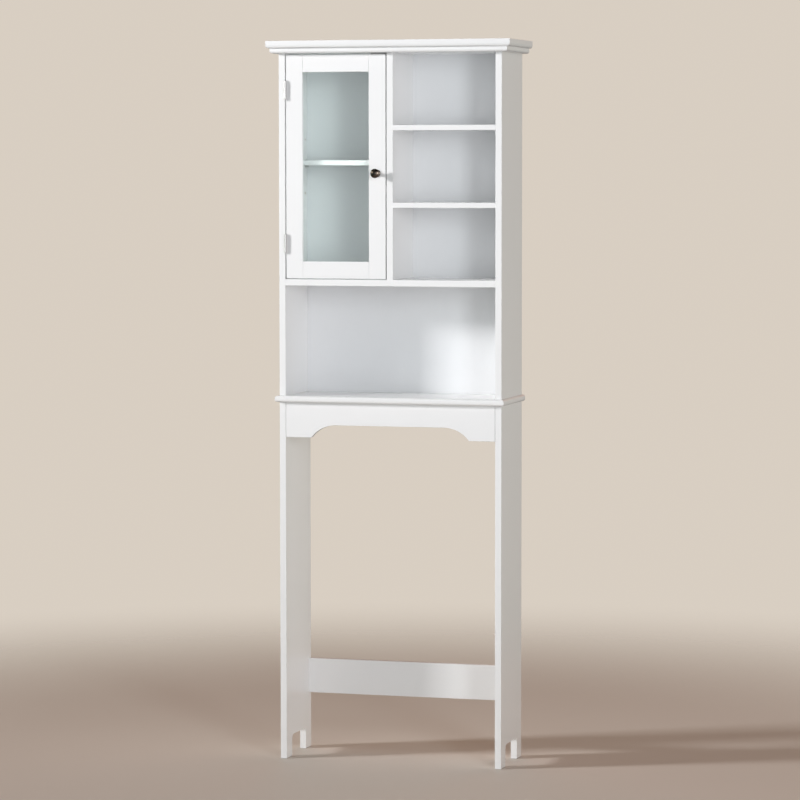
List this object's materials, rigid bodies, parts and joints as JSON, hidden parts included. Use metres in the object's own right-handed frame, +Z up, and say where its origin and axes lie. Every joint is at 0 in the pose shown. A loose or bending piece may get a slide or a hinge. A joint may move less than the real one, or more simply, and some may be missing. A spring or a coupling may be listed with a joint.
{
  "type": "over the toilet storage rack",
  "caption": "Tall narrow white storage rack that stands over a toilet, with open legs, an arched apron, open compartments, a glazed hinged door and a moulded cornice.",
  "frame": {"origin": "on the floor, under the middle of the overall box, which is the middle of the cornice cap", "axes": "+Z up, +Y towards the wall behind the rack, +X to the right seen from the front"},
  "size_m": [0.592, 0.215, 1.7],
  "materials": {
    "painted_board": "satin white lacquer over fibreboard",
    "white_hardboard": "thin hardboard with a smooth white face",
    "clear_glass": "clear float glass with a faint green tint",
    "bright_nickel": "bright nickel plate",
    "dark_nickel": "polished black nickel plate",
    "zinc": "dull zinc",
    "white_plastic": "moulded white plastic",
    "ferrite": "dull dark grey ferrite"
  },
  "bodies": {
    "cabinet": {"back_panel": "white_hardboard", "catch_housing": "white_plastic", "catch_magnet": "ferrite", "ceiling_panel": "painted_board", "centre_divider": "painted_board", "crown_cap": "painted_board", "crown_strip_front": "painted_board", "crown_strip_left": "painted_board", "crown_strip_right": "painted_board", "deck_board": "painted_board", "front_apron": "painted_board", "front_apron_cam_left": "zinc", "front_apron_cam_right": "zinc", "left_leg_cam_front": "zinc", "left_leg_cam_rear": "zinc", "left_leg_panel": "painted_board", "left_side_panel": "painted_board", "lower_cubby_shelf": "painted_board", "lower_hinge_frame_leaf": "bright_nickel", "lower_hinge_frame_screw_bottom": "bright_nickel", "lower_hinge_frame_screw_top": "bright_nickel", "lower_hinge_pin": "bright_nickel", "rear_stretcher": "painted_board", "rear_stretcher_cam_left": "zinc", "rear_stretcher_cam_right": "zinc", "right_leg_cam_front": "zinc", "right_leg_cam_rear": "zinc", "right_leg_panel": "painted_board", "right_side_panel": "painted_board", "shelf_pin_left_front": "bright_nickel", "shelf_pin_left_rear": "bright_nickel", "shelf_pin_right_front": "bright_nickel", "shelf_pin_right_rear": "bright_nickel", "upper_cubby_shelf": "painted_board", "upper_hinge_frame_leaf": "bright_nickel", "upper_hinge_frame_screw_bottom": "bright_nickel", "upper_hinge_frame_screw_top": "bright_nickel", "upper_hinge_pin": "bright_nickel", "wide_shelf": "painted_board"},
    "door": {"catch_strike_plate": "bright_nickel", "door_bottom_rail": "painted_board", "door_glass": "clear_glass", "door_hinge_stile": "painted_board", "door_knob": "dark_nickel", "door_latch_stile": "painted_board", "door_top_rail": "painted_board", "glass_bead_bottom": "painted_board", "glass_bead_left": "painted_board", "glass_bead_right": "painted_board", "glass_bead_top": "painted_board", "knob_screw": "zinc", "lower_hinge_door_leaf": "bright_nickel", "lower_hinge_door_screw_bottom": "bright_nickel", "lower_hinge_door_screw_top": "bright_nickel", "strike_screw": "zinc", "upper_hinge_door_leaf": "bright_nickel", "upper_hinge_door_screw_bottom": "bright_nickel", "upper_hinge_door_screw_top": "bright_nickel"},
    "adjustable_shelf": {"adjustable_shelf": "painted_board"}
  },
  "joints": [
    {"name": "door_hinge", "type": "hinge", "parent": "cabinet", "child": "door", "pos_m": [-0.2545, -0.0855, 1.40525], "axis": [0, 0, -1], "range_deg": [0, 170]},
    {"name": "shelf_lift", "type": "slide", "parent": "cabinet", "child": "adjustable_shelf", "axis": [0, 0, 1], "range_m": [0, 0.064]}
  ]
}
